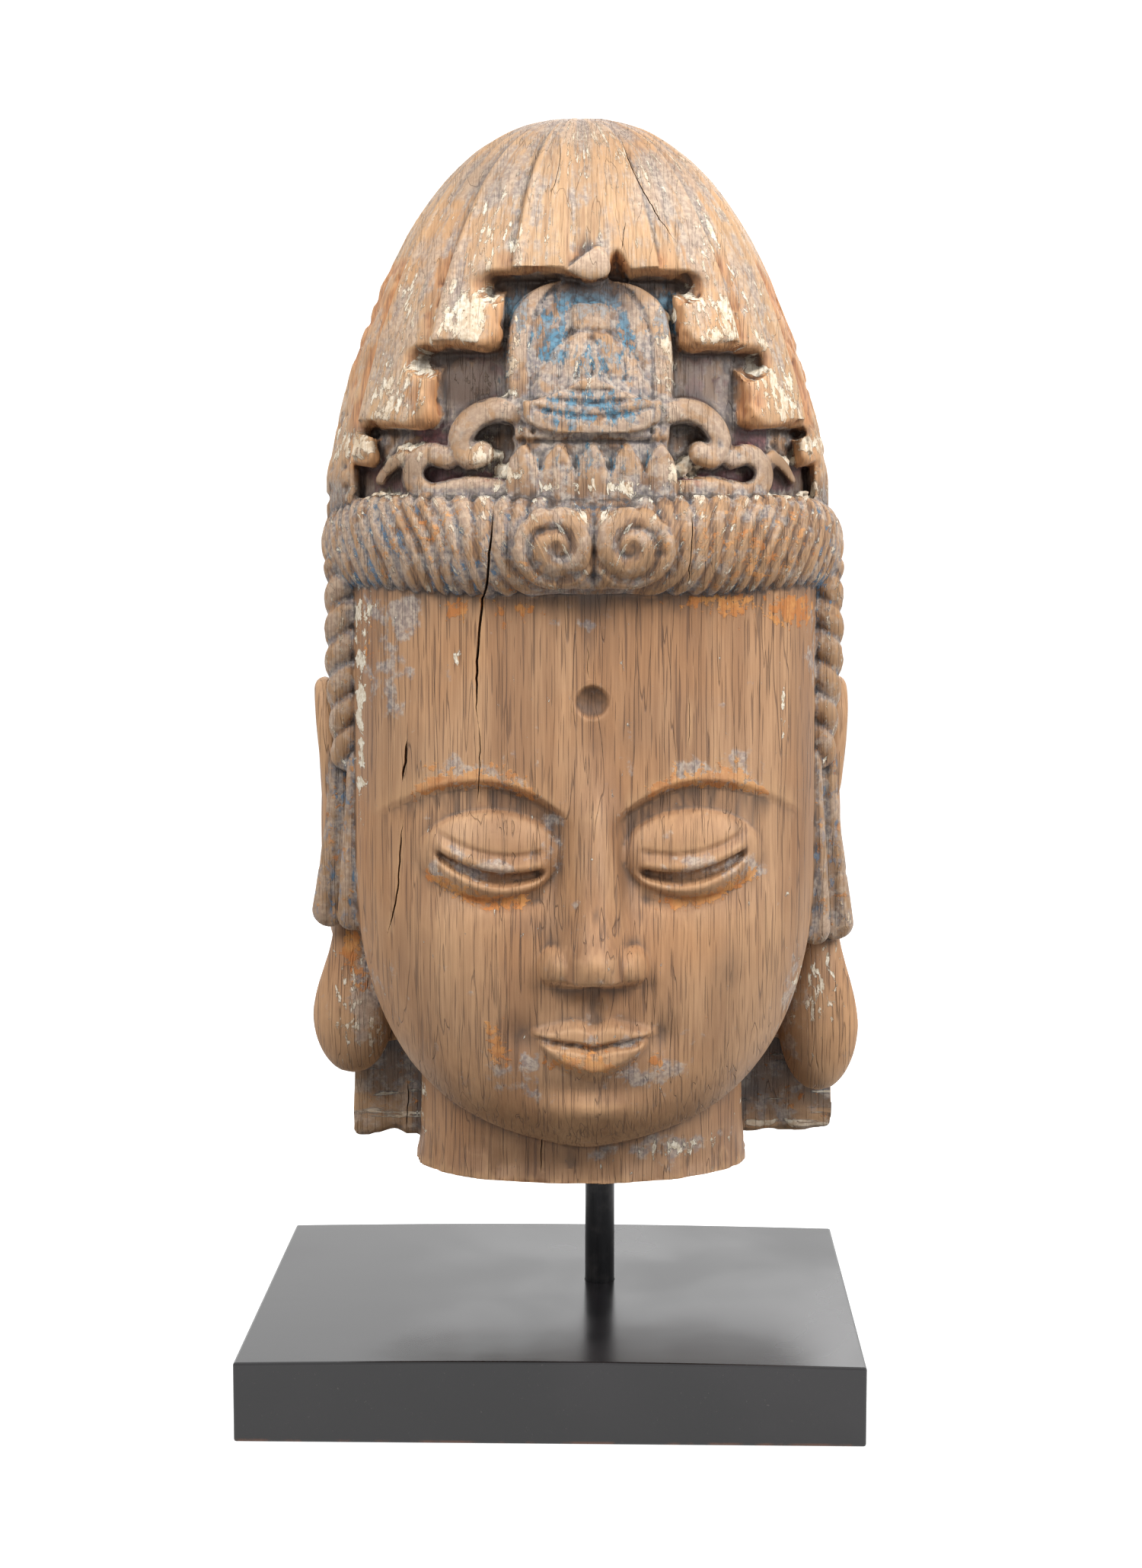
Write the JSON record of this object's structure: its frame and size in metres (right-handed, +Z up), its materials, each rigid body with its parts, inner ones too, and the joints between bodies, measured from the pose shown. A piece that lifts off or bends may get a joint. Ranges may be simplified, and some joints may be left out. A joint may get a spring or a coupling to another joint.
{
  "type": "bodhisattva head on a rod and plinth",
  "caption": "Carved wooden bodhisattva head in a pleated hood, with worn paint, held on an upright steel rod in a black lacquered plinth.",
  "frame": {"origin": "centre of the plinth's underside", "axes": "+Z up; the face looks along -Y, turned 4 degrees towards +X; +X is to the right of someone who faces it"},
  "size_m": [0.3104, 0.2517, 0.6428],
  "materials": {
    "weathered_wood": "bare, dry, open-grained old wood with worn traces of paint",
    "black_steel": "satin black",
    "black_lacquer": "black lacquer, satin gloss"
  },
  "bodies": {
    "root": {"carved_head": "weathered_wood", "support_rod": "black_steel", "plinth": "black_lacquer"}
  },
  "joints": []
}
